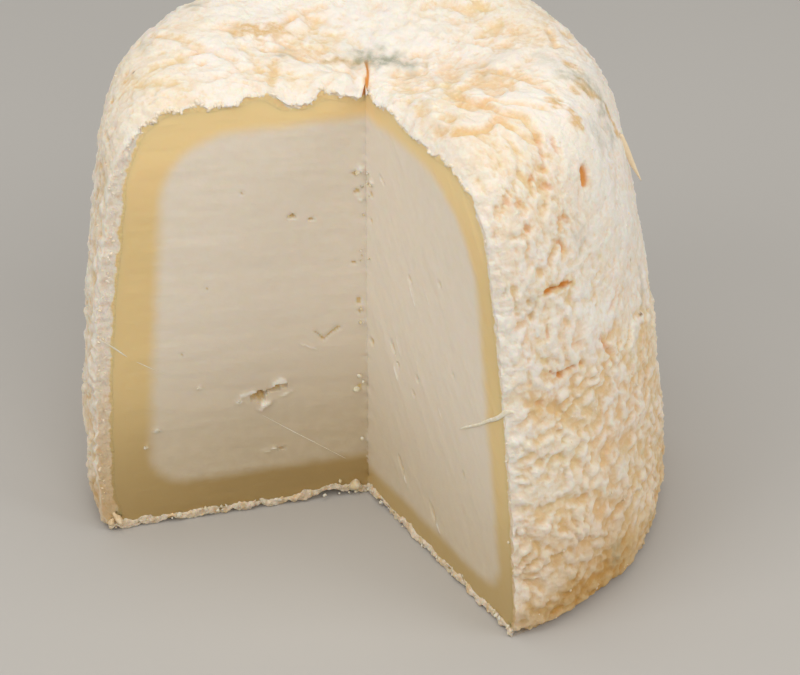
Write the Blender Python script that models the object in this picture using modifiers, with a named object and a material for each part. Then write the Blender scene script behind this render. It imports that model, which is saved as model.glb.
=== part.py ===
"""Chabichou: a small goat's cheese, a leaning drum that narrows to a flat, faintly dished top,
with one deep wedge cut out of the front. It rests on its flat foot. Metres, +Z up."""
import math

import bpy
from mathutils import Matrix, Vector

MM = 0.001

# The turned form of the whole cheese, in mm.
HEIGHT = 53.4           # foot to the rim of the top
FOOT_RADIUS = 30.9      # where it stands
FOOT_ROUND = 1.1        # turned-under edge of the foot
BELLY_RADIUS = 31.9     # widest, just above the foot
BELLY_HEIGHT = 4.0
NECK_RADIUS = 27.6      # where the side passes into the shoulder
NECK_HEIGHT = 43.0
RIM_RADIUS = 17.5       # highest ring of the top
DISH_DEPTH = 1.0        # the middle of the top sinks by this much
SIDE_BOW = 0.75         # how far the side swells from a straight taper
SHOULDER_SQUARE = 2.7   # 2 is a round shoulder, more is squarer
LEAN = (-2.3, 0.3)      # the top ring stands off the foot ring by this much
WAVES = ((2, 0.20, -0.77), (3, 0.15, 2.1), (5, 0.08, 4.0))    # lobes round, depth, turn in radians

# The missing wedge.
WEDGE_ANGLE = math.radians(108)
HEART_OFFSET = 2.67     # the two cuts meet this far in front of the middle of the foot
WEDGE_REACH = 60.0

RING_STEPS = 112
SIDE_STEPS = 16
SHOULDER_STEPS = 12
TOP_STEPS = 6


def side_radius(height):
    """Radius of the tapering side, carried on above the neck."""
    t = (height - BELLY_HEIGHT) / (NECK_HEIGHT - BELLY_HEIGHT)
    return BELLY_RADIUS + (NECK_RADIUS - BELLY_RADIUS) * t + SIDE_BOW * 4 * t * (1 - t)


def profile():
    """The outline from the middle of the top out, down the side and in under the foot: (radius, height)."""
    points = []
    for i in range(TOP_STEPS):
        t = i / TOP_STEPS
        points.append((RIM_RADIUS * t, HEIGHT - DISH_DEPTH * 0.5 * (1 + math.cos(math.pi * t))))
    for i in range(SHOULDER_STEPS):
        a = 0.5 * math.pi * (1 - i / SHOULDER_STEPS)
        height = NECK_HEIGHT + (HEIGHT - NECK_HEIGHT) * math.sin(a) ** (2 / SHOULDER_SQUARE)
        inward = 1 - math.cos(a) ** (2 / SHOULDER_SQUARE)
        points.append((side_radius(height) - (side_radius(height) - RIM_RADIUS) * inward, height))
    for i in range(SIDE_STEPS + 1):
        height = NECK_HEIGHT + (BELLY_HEIGHT - NECK_HEIGHT) * i / SIDE_STEPS
        points.append((side_radius(height), height))
    points.append((BELLY_RADIUS - 0.1, 0.5 * (BELLY_HEIGHT + FOOT_ROUND)))
    for i in range(4):
        a = 0.5 * math.pi * i / 3
        points.append((FOOT_RADIUS - FOOT_ROUND + (FOOT_ROUND + 0.6) * math.cos(a),
                       FOOT_ROUND * (1 - math.sin(a))))
    points.append((0.0, 0.0))
    return points


def link(ob, collection):
    for owner in list(ob.users_collection):
        owner.objects.unlink(ob)
    collection.objects.link(ob)


def turned_body(collection):
    """The whole cheese, screwed round from its outline, then given its lobes and its lean."""
    points = profile()
    mesh = bpy.data.meshes.new("cheese")
    verts = [(r * MM, 0.0, z * MM) for r, z in points]
    mesh.from_pydata(verts, [(i, i + 1) for i in range(len(verts) - 1)], [])
    ob = bpy.data.objects.new("cheese", mesh)
    collection.objects.link(ob)
    screw = ob.modifiers.new("turn", "SCREW")
    screw.steps = RING_STEPS
    screw.render_steps = RING_STEPS
    screw.use_merge_vertices = True
    screw.merge_threshold = 0.00001
    bake(ob)
    for vert in ob.data.vertices:
        x, y, z = vert.co
        turn = math.atan2(y, x)
        share = math.hypot(x, y) / (BELLY_RADIUS * MM)
        rise = z / (HEIGHT * MM)
        swell = sum(depth * math.sin(lobes * turn + phase) for lobes, depth, phase in WAVES)
        grow = 1 + swell * share * min(1.0, rise * 8) / BELLY_RADIUS
        vert.co = Vector((x * grow + LEAN[0] * MM * rise, y * grow + LEAN[1] * MM * rise, z))
    return ob


def wedge_cutter(collection):
    """A tall rhombic block with one corner on the line where the two cuts meet."""
    bpy.ops.mesh.primitive_cube_add(size=1)
    ob = bpy.context.object
    ob.name = "wedge"
    link(ob, collection)
    half = WEDGE_ANGLE / 2
    left = Vector((-math.sin(half), -math.cos(half), 0)) * WEDGE_REACH * MM
    right = Vector((math.sin(half), -math.cos(half), 0)) * WEDGE_REACH * MM
    tall = Vector((0, 0, 2 * HEIGHT * MM))
    block = Matrix((left, right, tall)).transposed().to_4x4()
    start = Vector((0, -HEART_OFFSET * MM, -0.5 * HEIGHT * MM))
    ob.data.transform(Matrix.Translation(start) @ block @ Matrix.Translation((0.5, 0.5, 0.5)))
    ob.hide_render = True
    ob.display_type = "WIRE"
    return ob


def bake(ob):
    """Turn the object's modifiers into plain mesh."""
    depsgraph = bpy.context.evaluated_depsgraph_get()
    mesh = bpy.data.meshes.new_from_object(ob.evaluated_get(depsgraph))
    ob.modifiers.clear()
    ob.data = mesh


def centre_on_foot(ob, others):
    """Bring the middle of the object's footprint to the origin, its foot to z = 0."""
    coords = [vert.co for vert in ob.data.vertices]
    low = [min(co[i] for co in coords) for i in range(3)]
    high = [max(co[i] for co in coords) for i in range(3)]
    shift = Matrix.Translation((-(low[0] + high[0]) / 2, -(low[1] + high[1]) / 2, -low[2]))
    for item in [ob] + others:
        item.data.transform(shift)


def main():
    for ob in list(bpy.data.objects):
        bpy.data.objects.remove(ob, do_unlink=True)
    scene = bpy.context.scene.collection
    parts = bpy.data.collections.new("chabichou")
    cutters = bpy.data.collections.new("cutters")
    cutters.hide_render = True
    scene.children.link(parts)
    scene.children.link(cutters)

    cheese = turned_body(parts)
    wedge = wedge_cutter(cutters)
    cut = cheese.modifiers.new("wedge", "BOOLEAN")
    cut.operation = "DIFFERENCE"
    cut.solver = "EXACT"
    cut.object = wedge
    bake(cheese)
    centre_on_foot(cheese, [wedge])

    paste = bpy.data.materials.new("cheese")
    paste.use_nodes = True
    shader = paste.node_tree.nodes["Principled BSDF"]
    shader.inputs["Base Color"].default_value = (0.84, 0.76, 0.62, 1)
    shader.inputs["Roughness"].default_value = 0.75
    cheese.data.materials.clear()
    cheese.data.materials.append(paste)


main()
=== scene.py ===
"""Looks of a chabichou: a small goat's cheese with a wrinkled bloomy rind and a wedge cut out of it."""

import math

import bmesh
import bpy
import numpy as np
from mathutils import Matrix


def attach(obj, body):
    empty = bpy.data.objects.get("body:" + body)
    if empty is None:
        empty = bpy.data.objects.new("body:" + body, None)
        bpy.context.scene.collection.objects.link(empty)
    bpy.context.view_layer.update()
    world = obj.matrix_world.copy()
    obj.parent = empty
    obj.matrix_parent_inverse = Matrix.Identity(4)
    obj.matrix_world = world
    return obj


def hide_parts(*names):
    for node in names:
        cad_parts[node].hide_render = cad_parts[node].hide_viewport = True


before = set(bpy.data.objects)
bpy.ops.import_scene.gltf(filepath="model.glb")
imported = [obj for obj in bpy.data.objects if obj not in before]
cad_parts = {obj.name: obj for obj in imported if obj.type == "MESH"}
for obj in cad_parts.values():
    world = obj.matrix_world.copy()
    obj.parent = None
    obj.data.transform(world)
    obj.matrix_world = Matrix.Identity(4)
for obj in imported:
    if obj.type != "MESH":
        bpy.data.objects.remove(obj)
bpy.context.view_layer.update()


# ------------------------------------------------------------
# Rind. The skin of a ripened goat's cheese: a wrinkled yeast skin with white mould on its crests,
# about a millimetre thick, dried on the outside. It grows on the curd while the drum stands in the
# cellar. The knife leaves it ragged along both cuts.
# ------------------------------------------------------------

MM = 0.001

# The drum, in mm, as the solid has it.
HEIGHT = 53.4
FOOT_RADIUS = 30.9
FOOT_ROUND = 1.1
BELLY_RADIUS = 31.9
BELLY_HEIGHT = 4.0
NECK_RADIUS = 27.6
NECK_HEIGHT = 43.0
RIM_RADIUS = 17.5
DISH_DEPTH = 1.0
SIDE_BOW = 0.75
SHOULDER_SQUARE = 2.7
LEAN = np.array([-2.3, 0.3])
LOBES = ((2, 0.20, -0.77), (3, 0.15, 2.1), (5, 0.08, 4.0))
HEART = np.array([0.131, -8.379])           # where the two cuts meet
MIDDLE = HEART + np.array([0.0, 2.67])      # middle of the foot
RIGHT_CUT = math.radians(-36)               # the rind runs from here, round the back,
LEFT_CUT = math.radians(216)                # to here
UP = np.array([0, 0, 1.0])
LEAST_RADIUS = 0.02                         # rings never shrink to a point

# Fields of wrinkles repeat over this many mm, down and round, and have this many cells.
SIDE = (96.0, 192.0)
CELLS = (512, 1024)


def ease(x):
    """0 below 0, 1 above 1, smooth between."""
    x = np.clip(x, 0.0, 1.0)
    return x * x * (3 - 2 * x)


def side_radius(height):
    """Radius of the tapering, slightly swollen side."""
    t = (height - BELLY_HEIGHT) / (NECK_HEIGHT - BELLY_HEIGHT)
    return BELLY_RADIUS + (NECK_RADIUS - BELLY_RADIUS) * t + SIDE_BOW * 4 * t * (1 - t)


def drum_outline():
    """Closely spaced (radius, height) from the middle of the top, down the side and in under the foot."""
    r = np.linspace(0, RIM_RADIUS, 60)[:-1]
    top = np.stack([r, HEIGHT - DISH_DEPTH * 0.5 * (1 + np.cos(np.pi * r / RIM_RADIUS))], 1)
    a = np.linspace(math.pi / 2, 0, 80)[:-1]
    z = NECK_HEIGHT + (HEIGHT - NECK_HEIGHT) * np.sin(a) ** (2 / SHOULDER_SQUARE)
    inward = 1 - np.cos(a) ** (2 / SHOULDER_SQUARE)
    shoulder = np.stack([side_radius(z) - (side_radius(z) - RIM_RADIUS) * inward, z], 1)
    z = np.linspace(NECK_HEIGHT, BELLY_HEIGHT, 120)
    side = np.stack([side_radius(z), z], 1)
    a = np.linspace(0, math.pi / 2, 16)
    foot = np.stack([FOOT_RADIUS - FOOT_ROUND + (FOOT_ROUND + 0.6) * np.cos(a),
                     FOOT_ROUND * (1 - np.sin(a))], 1)
    return np.concatenate([top, shoulder, side, foot])


def spaced(line, steps):
    """Points along a line, (length, step) pairs giving how far apart they are from its start on."""
    along = np.concatenate([[0], np.cumsum(np.hypot(*np.diff(line, axis=0).T))])
    stops = [0.0]
    for length, step in steps:
        end = min(stops[-1] + length, along[-1])
        count = max(1, round((end - stops[-1]) / step))
        stops += list(np.linspace(stops[-1], end, count + 1)[1:])
    stops[-1] = along[-1]
    stops = np.array(stops)
    return np.stack([np.interp(stops, along, line[:, 0]), np.interp(stops, along, line[:, 1])], 1), stops


def on_drum(turn, radius, height):
    """Points of the form at a turn about the heart line, for rings of a radius at a height."""
    rise = height / HEIGHT
    pull = ease(radius / 10)
    cx = (MIDDLE[0] - HEART[0] + LEAN[0] * rise) * pull
    cy = (MIDDLE[1] - HEART[1] + LEAN[1] * rise) * pull
    ux, uy = np.cos(turn), np.sin(turn)
    along = ux * cx + uy * cy
    swollen = radius
    for _ in range(2):
        reach = along + np.sqrt(np.maximum(swollen ** 2 - cx ** 2 - cy ** 2 + along ** 2, 0))
        about = np.arctan2(uy * reach - cy, ux * reach - cx)
        swell = sum(depth * np.sin(lobes * about + phase) for lobes, depth, phase in LOBES)
        swollen = radius * (1 + swell * radius / BELLY_RADIUS ** 2 * np.minimum(1, rise * 8))
    return np.stack([HEART[0] + ux * reach, HEART[1] + uy * reach, height + 0 * reach], -1)


def unit(vectors):
    """Vectors brought to length 1."""
    return vectors / np.maximum(np.linalg.norm(vectors, axis=-1, keepdims=True), 1e-9)


def grid_normals(points):
    """Outward unit normals of a grid whose rows run down the drum and columns round it."""
    down = np.gradient(points, axis=0)
    across = np.gradient(points, axis=1)
    return unit(np.cross(down, across))


def upright_at_heart(normal, radius):
    """Normals turned upright close to the heart line, where the rings shrink to a point."""
    away = ease((radius - 0.3) / 1.2)[..., None]
    return normal * away + UP * (1 - away)


def drum_grid(turns, line):
    """A grid over the drum, columns at some turns and rows along its outline: the turn, radius and height
    of each point, the points and their normals."""
    turn, radius = np.meshgrid(turns, np.maximum(line[:, 0], LEAST_RADIUS))
    height = np.meshgrid(turns, line[:, 1])[1]
    points = on_drum(turn, radius, height)
    return turn, radius, height, points, upright_at_heart(grid_normals(points), radius)


def frequencies(shape, size):
    """Waves per mm, down and across, of a field that covers size mm."""
    return (np.fft.fftfreq(shape[0], size[0] / shape[0])[:, None],
            np.fft.fftfreq(shape[1], size[1] / shape[1])[None, :])


def ripple(wave, seed, stretch=1.0, slant=0.0, band=0.6, rounds=1, bite=1.4):
    """A field of ridges about wave mm apart: noise of that wave length. More rounds sharpen and filter it
    again, so that the ridges join into worms and folds."""
    draw = np.random.default_rng(seed)
    fy, fx = frequencies(CELLS, SIDE)
    c, s = math.cos(slant), math.sin(slant)
    pitch = np.hypot(c * fx + s * fy, (c * fy - s * fx) * stretch) * wave
    keep = np.exp(-0.5 * ((pitch - 1) / band) ** 2)
    field = draw.standard_normal(CELLS)
    for i in range(rounds):
        field = np.fft.ifft2(np.fft.fft2(field) * keep).real
        field /= field.std()
        if i < rounds - 1:
            field = np.tanh(bite * field)
    return field


def cobbles(wide, joint, seed, low=0.3):
    """A field of round-topped lumps about wide mm across, parted by joints:
    up to 1 on their tops and 0 in the joints. Some lumps stay as low as low."""
    draw = np.random.default_rng(seed)
    down, across = round(SIDE[0] / wide), round(SIDE[1] / wide)
    spot = draw.uniform(0.0, 1.0, (down, across, 2))
    tall = draw.uniform(low, 1.0, (down, across)) ** 0.7
    girth = draw.uniform(0.75, 1.25, (down, across))
    y, x = np.meshgrid(np.arange(CELLS[0]) * down / CELLS[0], np.arange(CELLS[1]) * across / CELLS[1],
                       indexing="ij")
    i, j = np.floor(y).astype(int), np.floor(x).astype(int)
    nearest, second = np.full(CELLS, 9.0), np.full(CELLS, 9.0)
    top = np.zeros(CELLS)
    for di in (-1, 0, 1):
        for dj in (-1, 0, 1):
            a, b = (i + di) % down, (j + dj) % across
            off = np.hypot(i + di + spot[a, b, 0] - y, j + dj + spot[a, b, 1] - x) / girth[a, b]
            closer = off < nearest
            second = np.where(closer, nearest, np.minimum(second, off))
            top = np.where(closer, tall[a, b], top)
            nearest = np.where(closer, off, nearest)
    return top * ease((second - nearest) * wide / joint) ** 0.7 * (1 - 0.35 * nearest ** 2)


def cloud(shape, size, largest, seed, fall=1.0, smallest=0.3):
    """Soft uneven noise with no patch larger than largest mm and none finer than smallest mm."""
    draw = np.random.default_rng(seed)
    fy, fx = frequencies(shape, size)
    f = np.hypot(fx, fy) * largest
    weight = np.where(f > 0, np.maximum(f, 1.0) ** -(1 + fall), 0) * (f > 0.5)
    weight = weight * np.exp(-(np.hypot(fx, fy) * smallest) ** 2)
    field = np.fft.ifft2(np.fft.fft2(draw.standard_normal(shape)) * weight).real
    return field / field.std()


def read(field, across, down, size=SIDE):
    """A field's value at places in mm, smoothly between its cells."""
    rows, cols = field.shape
    x = np.mod(across / size[1], 1.0) * cols
    y = np.mod(down / size[0], 1.0) * rows
    x0, y0 = np.floor(x).astype(int), np.floor(y).astype(int)
    fx, fy = x - x0, y - y0
    x0, y0 = x0 % cols, y0 % rows
    x1, y1 = (x0 + 1) % cols, (y0 + 1) % rows
    top = field[y0, x0] * (1 - fx) + field[y0, x1] * fx
    low = field[y1, x0] * (1 - fx) + field[y1, x1] * fx
    return top * (1 - fy) + low * fy


# Rows run from the heart out over the top and down to the foot, columns from the right cut round
# the back to the left cut. They are closest where the wrinkles are finest to the eye.
rows, row_at = spaced(drum_outline(), ((6.0, 0.42), (24.0, 0.36), (60.0, 0.335)))
COLUMN_STEPS = ((math.radians(64), math.radians(0.45)),
                (math.radians(168), math.radians(0.90)),
                (math.radians(20), math.radians(0.45)))
columns = [RIGHT_CUT]
for span, step in COLUMN_STEPS:
    count = round(span / step)
    columns += list(columns[-1] + span * np.arange(1, count + 1) / count)
columns = np.array(columns)
turn, radius, height, base, normal = drum_grid(columns, rows)
normal = unit(normal)
down = np.meshgrid(columns, row_at)[1]

# Wrinkle fields. The side is read by its length round and its height, the top by its plan.
pebbles = cobbles(2.0, 1.15, 11)
beads = cobbles(0.80, 0.45, 23)
worms = ripple(2.2, 24, stretch=0.75, band=0.45, rounds=3)
grains = ripple(1.7, 12, stretch=1.1)
hollows = ripple(2.6, 13, stretch=0.9)
folds = ripple(6.5, 14, stretch=2.0, slant=math.radians(60))
crinkles = ripple(2.6, 19, stretch=1.8, slant=math.radians(55))
streaks = ripple(1.3, 15, stretch=4.0)
naps = ripple(0.95, 20, band=0.50)
lumps = cloud(CELLS, SIDE, 14.0, 16, fall=0.9)
patches = cloud(CELLS, SIDE, 16.0, 17, fall=0.8, smallest=1.2)
fluff = cloud(CELLS, SIDE, 1.6, 18, fall=0.2, smallest=0.3)

MEAN_RADIUS = 29.0
round_mm = turn * MEAN_RADIUS + 60.0
plan_x, plan_y = base[..., 0], base[..., 1]
up_top = 1 - ease((down - 15) / 9)              # 1 on the top, 0 on the side


def skin(field, warp=0.0):
    """A field laid over the drum: by plan on the top, by height on the side."""
    laid = []
    for across_mm, down_mm in ((round_mm, down), (plan_x + 100, plan_y + 40)):
        wx = warp * read(lumps, across_mm + 31, down_mm + 17)
        wy = warp * read(lumps, across_mm + 83, down_mm + 51)
        laid.append(read(field, across_mm + wx, down_mm + wy))
    return laid[0] + (laid[1] - laid[0]) * up_top


patchy = skin(patches)
lump = skin(lumps)
blister = 0.62 * skin(pebbles, warp=0.9) + 0.38 * np.clip(0.5 + 0.42 * skin(worms, warp=0.9), 0, 1)
bead = skin(beads, warp=0.3)
grain = skin(grains, warp=0.5)
hollow = skin(hollows, warp=0.6)
fold = skin(folds, warp=1.8)
crinkle = skin(crinkles, warp=1.0)
streak = skin(streaks, warp=0.3)
fuzz = skin(fluff)
nap = skin(naps, warp=0.3)


def around(turn_deg, wide_deg):
    """1 at a turn about the heart, falling to 0 over wide_deg to each side."""
    off = np.abs((np.degrees(turn) - turn_deg + 180) % 360 - 180)
    return ease(1.5 - off / wide_deg)


# Zones run into each other unevenly: coral-like blisters low down, a smoother felt half way up, a
# grainy band under the shoulder, soft folds on top.
BLISTERS_END, GRAIN_STARTS, FOOT_BAND_ENDS = 31, 41, 8
edge_shift = 3.0 * patchy
low = ease((BLISTERS_END - height + edge_shift) / 8)
foot_band = ease((FOOT_BAND_ENDS - height + 0.7 * edge_shift) / 6)
upper = ease((height - GRAIN_STARTS + edge_shift) / 6) * (1 - up_top)
middle = np.clip(1 - low - upper - up_top, 0, 1)
combed = around(13, 22) * ease((height - 24) / 8) * (1 - up_top) + 0.7 * around(96, 30) * middle
combed = np.clip(combed, 0, 1)                   # brushed smooth, with faint upright streaks
left_edge = around(216, 15) * (1 - up_top)
yellowed = 0.6 * around(342, 22) * ease((height - 43) / 5) * ease((radius - 9) / 6)
yellowed += 0.9 * around(200, 22) * ease((radius - 15) / 5) * ease((height - 36) / 8)
yellowed = np.clip(yellowed + 0.7 * around(80, 30) * upper, 0, 1)
creased = around(352, 34) * ease((radius - 8) / 4) * (1 - ease((radius - 23) / 4))
pit_few = ease((hollow - 1.25) / 0.9)
pit_many = ease((hollow - 0.5) / 1.1)
swing = 0.85 + 0.25 * np.clip(patchy, -1, 1)
quiet = 1 - 0.75 * combed
bulging, beading = blister - 0.5, bead - 0.4

# How far the skin stands out, in mm.
relief = low * swing * 0.72 * (1 - 0.25 * foot_band) * bulging + low * 0.07 * beading
relief += middle * quiet * (0.38 * bulging + 0.05 * beading - 0.05 * hollow - 0.20 * pit_few)
relief += upper * quiet * (0.22 * bulging + 0.13 * beading - 0.22 * pit_many)
relief += up_top * (0.16 * (1 + 0.6 * creased) * np.tanh(0.9 * fold) + 0.09 * crinkle - 0.05)
relief += up_top * (0.10 * bulging + 0.07 * beading)
relief += combed * 0.018 * streak + left_edge * 0.03 * streak

# How thickly the white felt covers it: 0 in bare valleys, 1 on crests.
crest = low * (-0.06 + 1.28 * blister + 0.12 * beading)
crest += middle * (0.80 + quiet * (0.85 * bulging + 0.16 * beading - 0.22 * ease(hollow)
                                   - 0.35 * pit_few))
crest += upper * (0.84 + quiet * (0.34 * bulging + 0.45 * beading - 0.35 * pit_many)
                  + 0.2 * combed)
crest += up_top * (0.85 - 0.14 * creased + (0.13 + 0.34 * creased) * np.tanh(fold) + 0.09 * crinkle)
crest -= up_top * 0.16 * ease((patchy - 0.1) / 0.9)
crest += up_top * (0.16 * bulging + 0.18 * beading + 0.10 * lump)
crest += combed * 0.03 * streak


def reach_of(path):
    """Distance in mm of each point of the skin from a path of places (turn, out from the heart, height)."""
    places = []
    for turn_deg, out, z in path:
        a = math.radians(turn_deg)
        places.append(np.array([HEART[0] + out * math.cos(a), HEART[1] + out * math.sin(a), z]))
    best = np.linalg.norm(base - places[0], axis=-1)
    for start, end in zip(places[:-1], places[1:]):
        along = end - start
        share = np.clip(((base - start) @ along) / (along @ along), 0, 1)
        best = np.minimum(best, np.linalg.norm(base - start - share[..., None] * along, axis=-1))
    return best


def near(path, wide, ragged=0.25):
    """1 on a path, a half at wide mm from it, 0 further out, with an uneven edge."""
    return ease((1.6 - reach_of(path) / wide + ragged * grain + 0.5 * ragged * hollow) / 1.2)


# Larger folds of the top, where the skin slipped as the young cheese shrank: width, depth,
# then the path as places (turn, out from the heart, height).
TOP_FOLDS = (
    (0.50, 0.38, (359, 10.6, 53.2), (357, 12.7, 53.4), (355, 15.1, 53.4), (356, 17.6, 53.1),
     (353, 19.6, 52.4)),
    (0.38, 0.22, (357, 11.6, 53.3), (1, 13.4, 53.4), (2, 15.8, 53.4), (4, 18.6, 53.0)),
    (0.45, 0.30, (349, 15.8, 53.4), (348, 17.4, 53.1), (349, 19.0, 52.6), (350, 19.9, 52.1)),
    (0.50, 0.26, (333, 13.9, 53.4), (337, 15.3, 53.4), (342, 15.7, 53.3), (349, 15.4, 53.4)),
    (0.38, 0.22, (344, 17.7, 53.0), (342, 19.5, 52.2), (341, 20.1, 51.7)),
    (0.55, 0.22, (17, 6.6, 52.9), (12, 8.2, 53.0), (3, 9.5, 53.2)),
    (0.60, 0.20, (338, 7.8, 53.1), (341, 10.0, 53.3), (338, 11.9, 53.3)),
    (0.55, 0.16, (28, 11.7, 53.2), (24, 14.7, 53.4), (17, 17.7, 53.3), (11, 19.9, 52.6)),
    (0.50, 0.20, (190, 19.3, 53.4), (185, 16.0, 53.3), (188, 13.7, 53.2)),
    (0.60, 0.18, (179, 23.9, 52.4), (181, 20.5, 53.4), (184, 17.5, 53.4)),
    (0.50, 0.24, (180, 10.0, 52.9), (192, 9.3, 52.9), (204, 9.4, 52.9)),
    (0.50, 0.22, (148, 14.3, 53.1), (137, 15.0, 53.1), (129, 15.3, 53.1)),
    (0.55, 0.20, (176, 14.3, 53.2), (181, 12.6, 53.1), (193, 10.6, 53.0)),
    (0.55, 0.18, (193, 25.2, 50.8), (202, 22.7, 52.5), (205, 19.6, 53.3)),
    (0.45, 0.16, (195, 22.0, 53.0), (193, 19.6, 53.4), (193, 17.0, 53.4)),
    (0.60, 0.30, (100, 24.0, 53.3), (88, 20.5, 53.2), (70, 19.0, 53.3)),
    (0.55, 0.26, (120, 27.5, 52.9), (112, 24.0, 53.3), (104, 19.0, 53.1)),
    (0.50, 0.24, (60, 24.5, 53.1), (52, 22.0, 53.4), (40, 20.5, 53.4)))
folded = np.zeros_like(turn)
for wide, depth, *path in TOP_FOLDS:
    sunk = near(path, wide, 0.15)
    bank = ease((3.2 - reach_of(path) / wide) / 2.0) - sunk
    relief += 0.45 * depth * bank - depth * sunk
    folded = np.maximum(folded, (0.4 + 1.4 * depth) * sunk)

# Single swellings: the lobe beside the crack at the heart, then those of the lower side. Width, how far
# they stand out, path.
SWELLINGS = (
    (1.1, 1.30, (183, 2.5, 52.6)), (0.95, 0.34, (331.5, 28.3, 22.5), (335, 28.4, 22.2)),
    (0.75, 0.40, (339.5, 28.7, 22.2), (338, 28.9, 19.7)),
    (0.62, 0.34, (342.4, 29.0, 21.2), (342.9, 29.2, 18.7)), (0.95, 0.42, (351, 29.8, 16.9)),
    (0.80, 0.36, (352.6, 29.6, 19.2), (355.2, 29.8, 19.2)),
    (0.85, 0.38, (1, 30.1, 18.6), (0.5, 30.3, 15.9)), (1.35, 0.26, (356, 30.4, 14.4), (354, 30.7, 11.6)),
    (0.75, 0.32, (5, 30.1, 20.4), (3.8, 30.3, 17.8)), (0.9, 0.25, (10, 31.6, 8.9)),
    (0.95, 0.22, (7, 31.6, 6.8), (5, 31.7, 4.4)), (1.05, 0.28, (329.5, 28.6, 19.9), (334.5, 28.8, 19.5)),
    (1.25, 0.26, (325, 28.8, 18.6), (332, 29.1, 17.7), (338, 29.5, 16.9), (345, 29.9, 15.8)),
    (0.7, 0.28, (334, 30.3, 5.4)), (0.6, 0.28, (330, 29.9, 9.2), (330.5, 30.0, 7.6)),
    (0.6, 0.26, (338, 30.3, 8.4), (338.5, 30.3, 6.6)), (0.9, 0.26, (345, 30.6, 7.8)),
    (1.0, 0.26, (335, 30.0, 10.4), (340, 30.1, 10.6)), (0.9, 0.30, (332, 29.4, 13.4), (331, 29.6, 12.2)),
    (0.6, 0.28, (325.5, 29.5, 10.9)), (0.7, 0.30, (326, 27.9, 24.0), (328, 27.9, 23.2)),
    (1.0, 0.22, (331, 27.8, 25.4), (335, 28.0, 24.6)))
swollen_here = np.zeros_like(turn)
for wide, stands, *path in SWELLINGS:
    raised = near(path, wide, 0.14)
    swollen_here = np.maximum(swollen_here, raised)
    relief += 0.6 * raised * stands

# Hollows between them, in the same terms.
HOLLOWS = (
    (0.62, 0.30, (325, 28.8, 16.4), (330, 29.2, 15.3), (332, 29.3, 15.3)),
    (0.62, 0.36, (335, 29.3, 15.6), (340, 29.7, 14.5), (343, 29.8, 14.2)),
    (0.85, 0.30, (343, 30.1, 11.9), (347, 30.3, 11.8)), (0.80, 0.30, (350, 30.5, 11.6), (353, 30.6, 10.2)),
    (0.45, 0.26, (329, 27.6, 26.4), (332, 27.6, 27.2), (337, 28.0, 25.9), (340, 28.5, 23.6)),
    (0.42, 0.30, (331, 28.3, 21.2), (336, 28.7, 20.9), (340.6, 29.1, 18.4)),
    (0.7, 0.20, (326, 29.7, 7.6), (329, 30.0, 6.4)), (0.6, 0.24, (334, 30.1, 8.9), (342, 30.6, 8.8)),
    (0.6, 0.26, (327, 29.4, 12.2), (330, 29.5, 11.0)), (0.4, 0.24, (348, 29.3, 22.2), (346, 29.3, 19.4)),
    (0.40, 0.28, (350, 29.6, 18.6), (347, 29.7, 16.4)))
hollowed = np.zeros_like(turn)
for wide, depth, *path in HOLLOWS:
    sunk = near(path, wide, 0.2)
    relief -= depth * sunk * (1 - 0.6 * swollen_here)
    hollowed = np.maximum(hollowed, sunk)
crest = crest + (0.95 - crest) * 0.45 * swollen_here * low
crest = crest - 0.35 * hollowed * (1 - 0.7 * swollen_here) - 0.62 * folded
crest = np.clip(crest + 0.06 * fuzz + 0.07 * nap + 0.05 * lump, 0, 1)
relief += 0.12 * lump + 0.03 * fuzz + 0.035 * nap * (1 - 0.4 * combed) - 0.08
relief -= 0.35 * around(201, 16) * (1 - up_top)

# Blue-grey mould: at the heart, on the right shoulder, and a few faint dabs: width, strength, path.
MOULD = (
    (1.25, 1.0, (118, 5.0, 52.5), (102, 4.9, 52.5), (84, 5.4, 52.5)),
    (1.0, 0.8, (82, 5.2, 52.5), (58, 5.6, 52.5)),
    (0.35, 0.4, (125, 4.7, 52.5), (140, 5.2, 52.5), (153, 5.9, 52.5)),
    (1.1, 0.60, (25, 20.4, 52.8), (27, 24.0, 50.0), (23, 24.5, 49.0)),
    (0.9, 0.35, (34, 18.2, 53.4), (24, 20.7, 52.6)), (1.0, 0.55, (21, 25.0, 47.8), (20, 25.2, 46.6)),
    (0.9, 0.40, (12, 23.6, 49.4), (13, 24.4, 47.8)), (0.9, 0.7, (162, 23.6, 53.0)),
    (0.8, 0.5, (183, 24.4, 52.2)), (0.9, 0.55, (167, 10.2, 52.8)), (1.3, 0.35, (351, 25.3, 42.5)),
    (0.9, 0.3, (333, 25.4, 38.8)), (0.7, 0.5, (17, 29.0, 30.6), (15, 29.2, 28.9)),
    (0.8, 0.45, (351, 31.1, 5.8), (350, 31.1, 3.6)), (1.6, 0.22, (30, 12.4, 53.3)),
    (1.6, 0.4, (120, 28.5, 40.0), (124, 28.6, 38.0)), (1.4, 0.35, (70, 33.0, 22.0)),
    (1.3, 0.5, (95, 31.0, 47.5), (102, 30.6, 48.5)))
mould = np.maximum.reduce([
    0.85 * strength * ease((1.9 - reach_of(path) / wide + 0.3 * grain + 0.25 * hollow) / 1.9)
    for wide, strength, *path in MOULD])

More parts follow.
